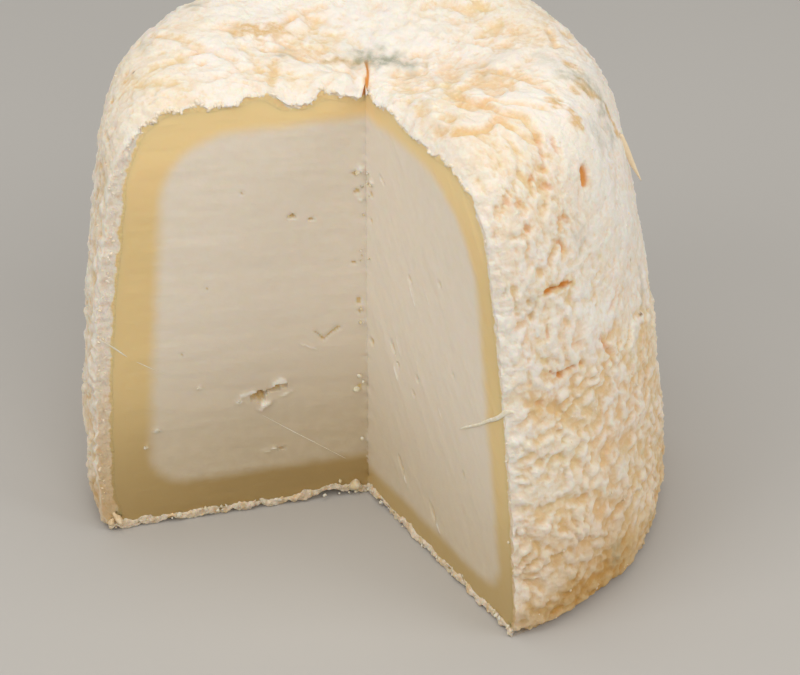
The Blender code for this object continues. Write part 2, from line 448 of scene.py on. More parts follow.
# Bare skin, where the white has rubbed off and the yeast skin shows straw-yellow to tan:
# width, path.
BARE = (
    (1.15, (166, 16.2, 53.3), (160, 14.0, 53.1), (154, 13.9, 53.1)),
    (0.5, (30, 20.6, 52.8), (29, 21.8, 52.1)), (0.40, (122, 4.6, 52.5), (138, 5.1, 52.5), (154, 5.9, 52.5)),
    (0.62, (21, 21.3, 52.2), (24, 22.1, 51.7)), (0.55, (23, 22.6, 51.2), (25, 23.8, 50.1)),
    (0.75, (9, 19.5, 52.8)), (0.65, (8, 21.2, 51.7), (6, 22.0, 51.0)),
    (0.55, (26, 25.3, 48.2), (25, 26.3, 45.4)), (1.6, (150, 29.0, 46.0), (156, 28.0, 47.0)),
    (1.5, (75, 32.0, 36.0)))
bare = np.maximum.reduce([near(path, wide, 0.35) for wide, *path in BARE])

# Open pits and cracks that show the orange skin at their bottom: width, depth, how orange,
# path.
CRACKS = (
    (0.17, 0.30, 0.9, (112, 0.0, 52.4), (104, 2.2, 52.4), (112, 4.6, 52.5)),
    (0.17, 0.6, 1.0, (337, 25.5, 39.15), (341, 25.7, 38.9), (345, 25.95, 38.75)),
    (0.30, 0.5, 1.0, (342, 25.8, 38.95), (343.6, 25.8, 39.1)), (0.24, 0.4, 1.0, (337.2, 25.5, 39.3)),
    (0.16, 0.5, 0.7, (336, 27.2, 30.4), (338, 27.4, 29.7), (341, 27.5, 29.7), (345, 27.7, 29.6)),
    (0.36, 0.5, 0.85, (338.4, 27.4, 29.5)),
    (0.36, 0.35, 0.5, (352, 27.8, 30.6), (353, 28.0, 29.4), (355, 28.3, 28.2)),
    (0.34, 0.35, 0.6, (335, 23.6, 46.6), (335, 23.7, 46.0)),
    (0.42, 0.4, 0.65, (344, 24.9, 43.3), (344, 25.0, 42.6)),
    (0.34, 0.25, 0.4, (339, 24.8, 42.8), (339, 25.0, 42.0)),
    (0.42, 0.28, 0.45, (346, 24.3, 45.6), (348, 24.6, 44.7)),
    (0.50, 0.5, 0.9, (359.5, 23.8, 48.2), (358, 24.2, 46.9)), (0.48, 0.45, 0.85, (342, 21.8, 50.1)),
    (0.40, 0.28, 0.5, (344, 22.6, 49.0), (346, 22.9, 48.6)),
    (0.28, 0.25, 0.4, (2, 27.7, 33.5), (0, 27.7, 32.9), (357, 27.6, 32.7)),
    (0.24, 0.2, 0.35, (353.4, 26.8, 36.0), (352, 26.9, 35.2)),
    (0.30, 0.25, 0.5, (336, 26.2, 35.5), (336, 26.4, 34.5)),
    (0.32, 0.25, 0.4, (342, 27.1, 32.2), (345, 27.2, 32.0)),
    (0.30, 0.2, 0.5, (331, 22.1, 49.2), (333, 22.4, 48.7), (335, 22.5, 48.8)),
    (0.40, 0.2, 0.35, (330, 26.3, 34.1), (331.6, 26.4, 33.6)), (0.45, 0.15, 0.3, (359, 26.9, 36.8)),
    (0.4, 0.3, 0.45, (332, 27.6, 27.6)), (0.35, 0.25, 0.55, (352, 19.8, 52.1), (350, 20.6, 51.4)),
    (0.35, 0.25, 0.5, (356, 20.8, 51.6), (354, 21.6, 50.8)),
    (0.35, 0.22, 0.5, (349, 20.9, 51.2), (348, 21.6, 50.5)),
    (0.35, 0.45, 0.8, (95, 31.0, 41.0), (99, 31.2, 40.6)),
    (0.34, 0.45, 0.8, (140, 29.5, 33.0), (144, 29.4, 32.5)), (0.45, 0.4, 0.7, (52, 33.5, 24.0)),
    (0.4, 0.4, 0.7, (112, 33.0, 30.0), (114, 33.0, 29.0)))
pits = np.zeros_like(turn)
for wide, depth, orange, *path in CRACKS:
    opened = near(path, wide, 0.28)
    relief -= 0.8 * depth * opened
    crest -= 0.35 * orange * near(path, 2.2 * wide, 0.4)
    pits = np.maximum(pits, orange * opened)

# A few grains of dark dust off the cellar shelf: half width, place.
SPECKS = (
    (0.17, (12, 28.0, 34.0)), (0.2, (12, 29.2, 27.5)), (0.15, (10, 29.3, 28.2)), (0.15, (18, 15.8, 53.4)),
    (0.17, (194, 24.2, 52.0)), (0.16, (75, 30.0, 44.0)), (0.16, (150, 24.0, 52.0)))
specks = np.maximum.reduce([near([place], wide, 0.2) for wide, place in SPECKS])

# The knife's edge. Thickness of the skin along each cut, by place along the outline from the heart:
# thin where the paste tore up to the surface, thick where a lobe of felt hangs down over it.
LEFT_SKIN = (
    (0, 1.3), (1.5, 1.7), (2.6, 1.2), (3.8, 0.9), (4.9, 0.5), (5.6, 1.3), (6.4, 2.1), (7.5, 1.7),
    (8.7, 2.1), (9.7, 1.3), (10.6, 0.4), (11.6, 0.8), (12.9, 1.1), (14.4, 1.5), (16.5, 1.8), (18.0, 0.9),
    (19.0, 1.8), (20.2, 1.4), (21.5, 1.0), (23.0, 1.3), (24.4, 1.2), (26.0, 1.7), (28.0, 1.8), (33.0, 2.1),
    (75.0, 2.2))
RIGHT_SKIN = (
    (0, 1.2), (2.4, 1.1), (3.8, 1.7), (5.4, 1.6), (7.1, 1.4), (9.5, 2.1), (12.3, 2.3), (14.7, 2.8),
    (17.4, 2.8), (20.0, 2.3), (23.0, 2.2), (26.0, 1.7), (29.0, 1.4), (40.0, 1.25), (75.0, 1.1))
CUT_FALL = 2.8               # the skin falls away towards a cut over this far
LINE_LENGTH = 400.0
edge_line = cloud((2, 2048), (1.0, LINE_LENGTH), 3.0, 21, fall=0.6, smallest=0.7)[0]
edge_tear = cloud((2, 2048), (1.0, LINE_LENGTH), 6.0, 22, fall=0.6, smallest=0.6)[0]


def along_line(line, at):
    """Value at places in mm along an uneven line that repeats."""
    return np.interp(np.mod(at, LINE_LENGTH) / LINE_LENGTH * len(line), np.arange(len(line)), line)


def skin_at_cut(at, left):
    """Thickness in mm of the skin along one cut, for places along the outline from the heart."""
    places, thickness = zip(*(LEFT_SKIN if left else RIGHT_SKIN))
    thick = np.interp(at + 0.25 * along_line(edge_line, at * 0.9 + 30), places, thickness)
    on_side = ease((at - 26) / 4)
    thick = thick + 0.13 * (1 - 0.5 * on_side) * along_line(edge_line, at + (150 if left else 0))
    beaded = read(beads, at + (30 if left else 70), 0 * at + 5.0)
    thick = thick + 0.55 * (1 - 0.7 * on_side) * (beaded - 0.4)
    thick = thick + 0.13 * (1 - 0.6 * on_side) * along_line(edge_tear, at + (250 if left else 90))
    return np.clip(thick, 0.3, 3.2)


def paste_at_cut(at, left):
    """Depth in mm at which the paste's own mesh takes over at a cut: under the thickest skin close by."""
    depth = 0
    for off in np.linspace(-0.8, 0.8, 8):
        close_by = [skin_at_cut(at + off + step, left) for step in np.linspace(-1.0, 1.0, 11)]
        depth = depth + np.maximum.reduce(close_by) / 8
    return depth + 0.05


def out_from_heart(places):
    """Distance in mm of places from the heart line."""
    return np.hypot(places[..., 0] - HEART[0], places[..., 1] - HEART[1])


def paste_painted_shade_and_drying(out, z, left):
    """0 to 1: how much darker and browner the paste is painted low down and in towards the heart. This is
    mostly painted shade of the low part and the concave corner, partly the creamline's own deeper colour.
    Near the crack at the top it is real drying.
    """
    # Painted shade in the concave corner, strongest at the heart.
    corner_shade = np.exp(-(out / 24) ** 2)
    dried = 0.30 * np.exp(-(out / 7) ** 2) * ease((z - 47.5) / 2.5)     # where the crack lets the air in
    return ease((32 - z) / 32) * (0.72 + 0.33 * corner_shade if left else 0.70 + 0 * out) + dried


def overhang_at_cut(at, left):
    """How far in mm the skin stands out over the cut."""
    shift = 310 if left else 200
    on_top = 1 - ease((at - 21) / 5)
    wavy = along_line(edge_line, at * 1.3 + shift) + 1.2 * along_line(edge_tear, at + shift)
    curl = 0.28 * np.exp(-((at - 2.6) / 0.9) ** 2) if left else 0.0          # beside the crack
    return np.clip(0.04 + 0.07 * on_top + (0.04 + 0.05 * on_top) * wavy + curl, -0.05, 0.45)


right_out = np.array([math.sin(RIGHT_CUT), -math.cos(RIGHT_CUT), 0])       # into the gap, off each cut
left_out = np.array([-math.sin(LEFT_CUT), math.cos(LEFT_CUT), 0])
reach = out_from_heart(base)
by_right, by_left = (np.clip(1 - reach * np.abs(turn - cut) / CUT_FALL, 0, 1) * ease(reach / 0.4)
                     for cut in (RIGHT_CUT, LEFT_CUT))
by_cut = np.maximum(by_right, by_left)
paste_right, paste_left = paste_at_cut(row_at, False), paste_at_cut(row_at, True)
fall_right = skin_at_cut(row_at, False) * (0.76 - 0.26 * ease((row_at - 22) / 8))
fall_left = skin_at_cut(row_at, True) * (0.78 - 0.66 * ease((row_at - 24) / 5))
relief = relief * (1 - 0.35 * by_cut ** 2) + by_cut * (0.16 * (bead - 0.5) + 0.16 * (blister - 0.5))
relief = relief - by_right ** 1.7 * fall_right[:, None] - by_left ** 1.7 * fall_left[:, None]
rolled = ease((row_at - 6) / 6) * (1 - ease((row_at - 22) / 8))          # worn down over the right shoulder
relief = relief - 0.30 * by_right ** 2 * rolled[:, None]
paste_here = np.where(by_right > by_left, paste_right[:, None], paste_left[:, None])
relief = np.maximum(relief, -1.3 * (1 - by_cut) - (paste_here - 0.3) * by_cut)
relief = np.minimum(relief, 0.8) * ease(reach / 0.4 + 0.2)
outer = base + normal * relief[..., None]
for left, by_one, out_of in ((False, by_right, right_out), (True, by_left, left_out)):
    outer = outer + out_of * (by_one * overhang_at_cut(row_at, left)[:, None])[..., None]
outer[..., 2] = np.maximum(outer[..., 2], 0.0)

# Each cut edge is a torn wall from the outside of the skin to its inside, sunk into the paste.
WALL_STEPS = 8
INNER_COLUMNS = 22
INNER_DEPTH = 1.9
# Behind the wall, the share of the way to the paste's own face, how much deeper, and how far off the cut:
# level with the paste at first, then dipping into it.
TAIL = ((0.33, 0, 0.012), (0.67, 0, 0.012), (1.0, 0.1, 0.012), (1.0, 0.12, 0.012), (1.0, 0.6, -0.10),
        (1.0, 0.9, -0.8))


def along_cut(normals, out):
    """Normals laid into the plane of a cut, so that what lies under the skin there stays on the cut."""
    return unit(normals - (normals @ out)[..., None] * out)


def torn_wall(column, out, left):
    """Columns of one torn edge, down the lip and along the tail, and how far each is into the paste."""
    thick, depth = skin_at_cut(row_at, left), paste_at_cut(row_at, left)
    over = overhang_at_cut(row_at, left)
    lumpy = (0.16 if left else 0.0) * ease((row_at - 21) / 4)
    outward = along_cut(normal[:, column], out)
    wall, into = [], []
    for k in range(1, WALL_STEPS + 1):
        share = k / WALL_STEPS
        sink = relief[:, column] * (1 - share) - thick * share
        rough = read(beads, row_at + (40 if left else 90), thick * share) - 0.5
        rough += 0.6 * (read(pebbles, row_at + (60 if left else 20), thick * share) - 0.5)
        puff = math.sin(math.pi * share) ** 0.7
        bulge = over * (1 - share) + 0.012 + puff * np.minimum((0.13 + lumpy) * rough, 0.07 + lumpy)
        wall.append(base[:, column] + outward * sink[:, None]
                    + out * (bulge * ease(reach[:, column] / 0.8))[:, None])
        into.append(-sink - thick)
    for share, deeper, off in TAIL:
        sink = thick + (depth - thick) * share + deeper
        wall.append(base[:, column] - outward * sink[:, None] + out * off)
        into.append(sink - thick + 0.3 * share)
    return wall, into


right_wall, right_into = torn_wall(0, right_out, False)
left_wall, left_into = torn_wall(-1, left_out, True)
pick = np.linspace(0, len(columns) - 1, INNER_COLUMNS + 2).round().astype(int)[1:-1]
inner = base[:, pick] - normal[:, pick] * INNER_DEPTH
loop = [outer[:, j] for j in range(len(columns))] + left_wall
loop += [inner[:, j] for j in range(INNER_COLUMNS - 1, -1, -1)] + right_wall[::-1]
loop = np.stack(loop, 1)
loop[..., 2] = np.maximum(loop[..., 2], 0.0)


def strip(first, second):
    """Triangles between two chains of points that may differ in count, as lists of indices."""
    faces = []
    i = j = 0
    while i < len(first) - 1 or j < len(second) - 1:
        ahead = (i + 1) / max(len(first) - 1, 1) <= (j + 1) / max(len(second) - 1, 1)
        if j == len(second) - 1 or (i < len(first) - 1 and ahead):
            faces.append([first[i], first[i + 1], second[j]])
            i += 1
        else:
            faces.append([first[i], second[j + 1], second[j]])
            j += 1
    return faces


def grid_quads(row_count, col_count, closed=False):
    """Quads of a grid, open or closed round its columns."""
    i, j = np.meshgrid(np.arange(row_count - 1), np.arange(col_count - (not closed)), indexing="ij")
    k = (j + 1) % col_count
    quads = [i * col_count + j, (i + 1) * col_count + j, (i + 1) * col_count + k, i * col_count + k]
    return np.stack(quads, -1).reshape(-1, 4)


def tube_faces(row_count, col_count, turn_at):
    """Faces of a grid closed round its columns. Each end is a strip between the columns up to turn_at,
    which run out, and the rest, which run back."""
    there, back = list(range(turn_at)), list(range(turn_at, col_count))[::-1]
    last = (row_count - 1) * col_count
    ends = [face[::-1] for face in strip(there, back)]
    ends += strip([last + n for n in there], [last + n for n in back])
    return grid_quads(row_count, col_count, closed=True).tolist() + ends


def make_piece(name, points, faces, material, marks=None):
    """A smooth mesh object from points in mm, with named values kept on its points."""
    mesh = bpy.data.meshes.new(name)
    mesh.from_pydata((points.reshape(-1, 3) * MM).tolist(), [], faces)
    for key, values in (marks or {}).items():
        layer = mesh.attributes.new(key, "FLOAT", "POINT")
        layer.data.foreach_set("value", np.ascontiguousarray(values, dtype=np.float32).ravel())
    mesh.polygons.foreach_set("use_smooth", np.ones(len(mesh.polygons), dtype=bool))
    mesh.materials.append(material)
    mesh.validate()
    mesh.update()
    ob = bpy.data.objects.new(name, mesh)
    bpy.context.scene.collection.objects.link(ob)
    return ob


def hex_colour(code):
    """Linear colour from an sRGB hex code."""
    parts = [int(code[i:i + 2], 16) / 255 for i in (1, 3, 5)]
    return [c / 12.92 if c <= 0.04045 else ((c + 0.055) / 1.055) ** 2.4 for c in parts] + [1.0]


def node(tree, kind, settings=None, links=None, **values):
    """Adds a node: settings are its own, values its sockets', links join its sockets to others'."""
    made = tree.nodes.new(kind)
    for key, value in (settings or {}).items():
        setattr(made, key, value)
    for key, value in values.items():
        made.inputs[key.replace("_", " ")].default_value = value
    for key, source in (links or {}).items():
        tree.links.new(source, made.inputs[key])
    return made


def mix(tree, factor, low_colour, high_colour, how="MIX"):
    """Colour between two hex codes or sockets, by a factor socket or number."""
    made = tree.nodes.new("ShaderNodeMix")
    made.data_type = "RGBA"
    made.blend_type = how
    for index, value in ((0, factor), (6, low_colour), (7, high_colour)):
        if isinstance(value, bpy.types.NodeSocket):
            tree.links.new(value, made.inputs[index])
        else:
            made.inputs[index].default_value = hex_colour(value) if isinstance(value, str) else value
    return made.outputs[2]


def ramp(tree, source, start, end):
    """0 below start, 1 above end, eased between."""
    made = node(tree, "ShaderNodeMapRange", {"interpolation_type": "SMOOTHSTEP"}, {"Value": source},
                From_Min=start, From_Max=end)
    return made.outputs["Result"]


def noise(tree, size, detail=3.0, **values):
    """Even noise, with lumps about size mm across."""
    where = node(tree, "ShaderNodeTexCoord").outputs["Object"]
    return node(tree, "ShaderNodeTexNoise", links={"Vector": where}, Scale=1 / (size * MM), Detail=detail,
                **values).outputs["Fac"]


def times_plus(tree, source, factor, added):
    """A socket times a number, plus a number or another socket."""
    made = node(tree, "ShaderNodeMath", {"operation": "MULTIPLY_ADD"}, {0: source})
    made.inputs[1].default_value = factor
    if isinstance(added, bpy.types.NodeSocket):
        tree.links.new(added, made.inputs[2])
    else:
        made.inputs[2].default_value = added
    return made.outputs[0]


def bump(tree, height, strength, deep, under=None, **settings):
    """Fine relief, deep mm, on top of the relief under it."""
    links = {"Height": height}
    if under:
        links["Normal"] = under
    return node(tree, "ShaderNodeBump", settings, links, Strength=strength, Distance=deep * MM).outputs[0]


def mark(tree, name):
    """A value kept on the mesh's points."""
    return node(tree, "ShaderNodeAttribute", {"attribute_name": name}).outputs["Fac"]


def new_material(name, **values):
    """A principled material with some of its sockets set."""
    material = bpy.data.materials.new(name)
    material.use_nodes = True
    shader = material.node_tree.nodes["Principled BSDF"]
    for key, value in values.items():
        shader.inputs[key.replace("_", " ")].default_value = value
    return material, material.node_tree, shader


def finish_material(tree, shader, colour, normal=None):
    """Joins the colour, and the relief if there is any, to the surface."""
    tree.links.new(colour, shader.inputs["Base Color"])
    if normal:
        tree.links.new(normal, shader.inputs["Normal"])


def creamline(tree):
    """The softened paste under the skin: straw-yellow at the top, duller and browner low down, partly its
    own colour and mostly painted shade.
    """
    deep = mix(tree, ramp(tree, mark(tree, "height"), 38.0, 50.0), "#EBCF96", "#FFDDA3")
    # Painted shade: browner low down and towards the heart.
    return mix(tree, ramp(tree, mark(tree, "lowness"), 0.1, 1.0), deep, "#B29662")


# Dried yeast skin under a felt of white mould. The felt scatters light evenly, so crests are chalky and
# dull; the valleys keep the moist skin's peach to straw colour.
bloomy_rind, tree, shader = new_material(
    "bloomy_rind", Roughness=0.82, Subsurface_Weight=0.45, Subsurface_Scale=0.0005,
    Subsurface_Radius=(1.0, 0.62, 0.38), Specular_IOR_Level=0.22, IOR=1.4)
speckle = noise(tree, 0.8, 6.0, Roughness=0.70)
crest_now = node(tree, "ShaderNodeMath", {"operation": "ADD"},
                 {0: mark(tree, "crest"), 1: times_plus(tree, speckle, 1.5, -0.75)}).outputs[0]
valley = mix(tree, mark(tree, "warmth"), "#F0D0A8", "#E8C58B")
valley = mix(tree, ramp(tree, noise(tree, 7.0), 0.45, 0.62), valley, "#EDD2A4")
felt = mix(tree, mark(tree, "warmth"), "#FAF1E6", "#F7E9D3")
rubbed = ramp(tree, noise(tree, 1.6, 4.0, Roughness=0.6), 0.50, 0.72)
felt = mix(tree, rubbed, felt, mix(tree, 0.35, felt, valley))
skin_colour = mix(tree, ramp(tree, crest_now, 0.0, 0.95), valley, felt)
# Stains, and painted shade towards the bottom, multiply in a tan.
skin_colour = mix(tree, mark(tree, "stain_and_painted_shade"), skin_colour, "#D8C094", "MULTIPLY")
skin_colour = mix(tree, ramp(tree, mark(tree, "pit"), 0.1, 1.0), skin_colour, "#DE9448")
for key, start, end, colour in (("bare", 0.2, 0.6, "#E3C08C"), ("mould", 0.15, 0.65, "#979A84")):
    broken_up = node(tree, "ShaderNodeMath", {"operation": "MULTIPLY", "use_clamp": True},
                     {0: mark(tree, key), 1: ramp(tree, speckle, start, end)}).outputs[0]
    skin_colour = mix(tree, broken_up, skin_colour, colour)
skin_colour = mix(tree, mark(tree, "speck"), skin_colour, "#8A6A45")
frayed = times_plus(tree, speckle, 1.2, mark(tree, "cream"))
skin_colour = mix(tree, ramp(tree, frayed, 0.85, 1.25), skin_colour, creamline(tree))
where = node(tree, "ShaderNodeTexCoord").outputs["Object"]
tufts = node(tree, "ShaderNodeTexVoronoi", {"feature": "SMOOTH_F1"}, {"Vector": where},
             Scale=1 / (0.55 * MM), Smoothness=0.4, Randomness=1.0)
felted = bump(tree, noise(tree, 0.35, 4.0, Roughness=0.7), 0.6, 0.2)
felted = bump(tree, speckle, 0.5, 0.35, felted)
felted = bump(tree, tufts.outputs["Distance"], 0.25, 0.3, felted, invert=True)
finish_material(tree, shader, skin_colour, felted)

# What each point of the skin carries for its colour. Torn walls and the inside count as felt.
at_rim = np.maximum(by_right, by_left) ** 2
warmth = 0.10 + 0.35 * ease(0.5 + 0.5 * patchy) + 0.50 * yellowed + 0.22 * low + 0.40 * foot_band
warmth = warmth - 0.2 * combed
warmth = np.clip(warmth * (1 - 0.6 * at_rim) - 0.12 * up_top * (1 - yellowed), 0, 1)
crest = crest + (0.95 - crest) * 0.7 * at_rim
# Partly stains, on the foot band and in two low places, and partly painted shade that darkens the skin
# towards the bottom.
stain_and_painted_shade = 0.40 * foot_band + 0.40 * around(343, 14) * ease((14 - height) / 8)
stain_and_painted_shade = stain_and_painted_shade + 0.12 * ease((24 - height) / 16) + 0.14 * around(8, 18) * ease((30 - height) / 10)
hidden = loop.shape[1] - len(columns)
into_paste = np.full(loop.shape[:2], -2.0)
into_paste[:, len(columns):len(columns) + len(left_wall)] = np.stack(left_into, 1)
into_paste[:, -len(right_wall):] = np.stack(right_into[::-1], 1)
from_heart = out_from_heart(loop)
on_left = np.arange(loop.shape[1]) < len(columns) + len(left_wall)
shade = np.where(on_left, *(paste_painted_shade_and_drying(from_heart, loop[..., 2], left) for left in (True, False)))
marks = {}
for key, values, rest in (("crest", crest, 0.90), ("warmth", warmth, 0.2), ("stain_and_painted_shade", stain_and_painted_shade, 0.1),
                          ("mould", mould, 0.0), ("bare", bare, 0.0), ("pit", pits, 0.0),
                          ("speck", specks, 0.0)):
    rest = np.full((len(row_at), hidden), rest)
    # The torn walls and the inside grow darker and browner towards the foot: partly stain, partly painted
    # shade.
    if key in ("stain_and_painted_shade", "warmth"):
        rest += 0.70 * ease((28 - rows[:, 1:]) / 28)
    if key == "pit":
        rest += 0.9 * np.exp(-(row_at[:, None] / 0.9) ** 2)
    if key == "crest":
        rest += 0.20 * read(fluff, *np.meshgrid(np.arange(hidden) * 0.3, row_at))
    marks[key] = np.concatenate([values, rest], 1)
marks.update(cream=0.45 + into_paste / 0.9, lowness=shade, height=loop[..., 2])
rind = make_piece("rind", loop, tube_faces(*loop.shape[:2], len(columns)), bloomy_rind, marks)
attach(rind, "root")


# ------------------------------------------------------------
# Paste. Set goat's curd, ripened from the skin inwards: a close white core within a creamline that
# has softened to a waxy straw-yellow. Two strokes of a wet knife opened it, and they leave faint
# drag lines, small holes and a few torn places.
# ------------------------------------------------------------

PASTE_INSET = 1.35          # the paste's outside lies this far inside the drum's outside
PASTE_FLOOR = 0.45
FACE_ACROSS = 116
FACE_DOWN = 196
PASTE_COLUMNS = 30
CORNER_AT = RIM_RADIUS + 6.2        # where a face's top border turns into its side border

whole, whole_at = spaced(drum_outline(), ((200.0, 0.05),))
top_stops = np.linspace(0, CORNER_AT, FACE_ACROSS + 1)
side_stops = np.linspace(CORNER_AT, whole_at[-1], FACE_DOWN + 1)
stops = np.concatenate([top_stops, side_stops[1:]])
beside, beyond = math.radians(2.5), math.radians(8)
paste_turns = np.linspace(RIGHT_CUT + beyond, LEFT_CUT - beyond, PASTE_COLUMNS - 3)
paste_turns = np.concatenate([[RIGHT_CUT, RIGHT_CUT + beside], paste_turns, [LEFT_CUT - beside, LEFT_CUT]])
paste_line = np.stack([np.interp(stops, whole_at, whole[:, i]) for i in (0, 1)], 1)
paste_turn, _, paste_height, paste_base, paste_normal = drum_grid(paste_turns, paste_line)
level = ease((BELLY_HEIGHT + 1 - paste_height) / 3)[..., None]         # straight in, near the foot
sideways = unit(paste_base[..., :2] - MIDDLE)
sideways = np.concatenate([sideways, 0 * sideways[..., :1]], -1)
paste_normal = paste_normal * (1 - level) + sideways * level
paste_normal[:, 0] = along_cut(paste_normal[:, 0], right_out)
paste_normal[:, -1] = along_cut(paste_normal[:, -1], left_out)
inset = np.full(paste_turn.shape, PASTE_INSET)
even = paste_base - paste_normal * PASTE_INSET
by_right_cut, by_left_cut = paste_at_cut(stops, False), paste_at_cut(stops, True)
inset[:, 0], inset[:, -1] = by_right_cut, by_left_cut
inset[:, 1] = np.maximum(by_right_cut + 0.1, PASTE_INSET)
inset[:, -2] = np.maximum(by_left_cut + 0.1, PASTE_INSET)
inset[:, 2] = np.maximum(0.8 * by_right_cut, PASTE_INSET)
paste_skin = paste_base - paste_normal * inset[..., None]
for points in (even, paste_skin):
    points[..., 2] = np.maximum(points[..., 2], PASTE_FLOOR)
    points[0, :, :2] = HEART
    points[-1, :, 2] = PASTE_FLOOR
shares = 1 - np.linspace(0, 1, FACE_ACROSS + 1)[1:]


def foot_lift(places):
    """How far the foot stands off the table: a shallow arch where the left cut comes to the heart."""
    behind = np.abs((places[..., :2] - HEART) @ left_out[:2])
    return np.exp(-((out_from_heart(places) - 4.3) / 1.9) ** 2) * np.exp(-(behind / 3.0) ** 2)


under = HEART + (paste_skin[-1, :, :2] - HEART)[None] * shares[:, None, None]
under = np.concatenate([under, PASTE_FLOOR + foot_lift(under)[..., None]], -1)
paste_skin = np.concatenate([paste_skin, under], 0)
even = np.concatenate([even, under], 0)


def face_grid(column, direction):
    """Points of one cut face, stretched between its borders, whose raggedness dies out inwards."""
    at, smooth = (np.stack([(points[:, column, :2] - HEART) @ direction, points[:, column, 2]], 1)
                  for points in (paste_skin, even))
    top = smooth[:FACE_ACROSS + 1]
    outside = smooth[FACE_ACROSS:FACE_ACROSS + FACE_DOWN + 1]
    floor_line = smooth[FACE_ACROSS + FACE_DOWN:][::-1]
    heart_z = np.linspace(top[0, 1], floor_line[0, 1], FACE_DOWN + 1)
    heart_line = np.stack([0 * heart_z, heart_z], 1)
    u = np.linspace(0, 1, FACE_ACROSS + 1)[None, :, None]
    v = np.linspace(0, 1, FACE_DOWN + 1)[:, None, None]
    ruled = (1 - v) * top[None] + v * floor_line[None] + (1 - u) * heart_line[:, None] + u * outside[:, None]
    corners = ((1 - u) * (1 - v) * top[0] + u * (1 - v) * top[-1]
               + (1 - u) * v * floor_line[0] + u * v * floor_line[-1])
    shift = at - smooth
    shift[0, 0] = 0
    below_top = np.exp(-(v * HEIGHT / 3.0) ** 2)
    inside = np.exp(-((1 - u) * BELLY_RADIUS / 3.0) ** 2)
    ragged = (shift[:FACE_ACROSS + 1][None] * below_top
              + shift[FACE_ACROSS:FACE_ACROSS + FACE_DOWN + 1][:, None] * inside
              - shift[FACE_ACROSS] * below_top * inside)
    return ruled - corners + ragged


# The white core on each face: its side at two heights, top, bottom, and how round its corners are.
LEFT_CORE = dict(side_high=21.6, side_low=23.9, top=48.6, bottom=5.2, round_top=7.0, round_bottom=4.5)
RIGHT_CORE = dict(side_high=20.9, side_low=25.4, top=48.8, bottom=3.6, round_top=10.5, round_bottom=4.0)


def into_core(out, z, side_high, side_low, top, bottom, round_top, round_bottom):
    """Distance in mm inside the core's edge, less than 0 in the creamline."""
    side = side_low + (side_high - side_low) * np.clip((z - 12) / 29, -0.3, 1.3)
    across = out - side
    best = None
    for beyond, corner in ((z - top, round_top), (bottom - z, round_bottom)):
        u, v = across + corner, beyond + corner
        d = np.hypot(np.maximum(u, 0), np.maximum(v, 0)) - corner + np.minimum(np.maximum(u, v), 0)
        best = d if best is None else np.maximum(best, d)
    return -best


FACE = (64.0, 64.0)
drag = cloud((512, 512), FACE, 6.0, 31, fall=0.5, smallest=0.25)
knobs = cloud((512, 512), FACE, 2.4, 32, fall=0.4, smallest=0.3)


def dent(out, z, at, size, tilt=0.0, rough=0.0, rim=0.35):
    """A hole or torn place: 1 in its middle, 0 outside, with a ragged rim."""
    c, s = math.cos(math.radians(tilt)), math.sin(math.radians(tilt))
    dx, dz = out - at[0], z - at[1]
    along, across = (c * dx + s * dz) / size[0], (c * dz - s * dx) / size[1]
    return ease((1 + rim / 2 - np.hypot(along, across) + rough * read(knobs, out + 9, z, FACE)) / rim)


# Holes by place on the face (out from the heart, height), half length and height, tilt and depth.
LEFT_HOLES = (
    ((7.9, 37.5), (0.42, 0.22), 0, 0.5), ((5.9, 36.9), (0.30, 0.17), -10, 0.4),
    ((1.3, 30.8), (0.18, 0.14), 0, 0.3), ((10.9, 26.8), (0.22, 0.13), 0, 0.25),
    ((5.1, 21.9), (0.75, 0.17), 48, 0.25), ((3.8, 22.2), (0.85, 0.16), -32, 0.22),
    ((11.9, 15.2), (0.85, 0.34), -12, 0.9), ((10.2, 15.75), (1.25, 0.24), -18, 0.8),
    ((11.6, 14.9), (0.40, 0.62), 20, 0.9), ((9.6, 7.7), (0.36, 0.2), 15, 0.5),
    ((1.1, 41.8), (0.35, 0.25), 30, 0.2), ((0.9, 39.6), (0.3, 0.3), 0, 0.25),
    ((0.9, 25.8), (0.28, 0.35), 0, 0.2), ((0.8, 14.5), (0.3, 0.5), 0, 0.2),
    ((0.7, 24.4), (0.3, 0.22), 0, 0.2), ((17.0, 30.0), (0.2, 0.1), -20, 0.2),
    ((13.0, 41.0), (0.25, 0.1), 5, 0.2), ((20.0, 22.0), (0.2, 0.12), 15, 0.2))
RIGHT_HOLES = (
    ((3.4, 42.5), (0.7, 0.22), -30, 0.4), ((8.6, 33.3), (0.5, 0.13), -52, 0.35),
    ((14.3, 36.0), (0.4, 0.12), -50, 0.3), ((5.3, 22.6), (0.8, 0.17), -62, 0.4),
    ((6.3, 21.0), (0.5, 0.16), -62, 0.4), ((10.0, 21.7), (0.45, 0.16), -55, 0.35),
    ((9.3, 19.3), (0.4, 0.15), -55, 0.35), ((16.9, 26.4), (0.3, 0.12), -50, 0.25),
    ((1.0, 39.6), (0.35, 0.3), 0, 0.25), ((1.0, 36.3), (0.3, 0.22), 0, 0.2),
    ((6.9, 8.2), (1.0, 0.16), -60, 0.35), ((13.4, 5.9), (1.1, 0.16), -55, 0.35),
    ((1.0, 21.0), (0.3, 0.35), 0, 0.35), ((19.0, 15.0), (0.3, 0.1), -55, 0.2))
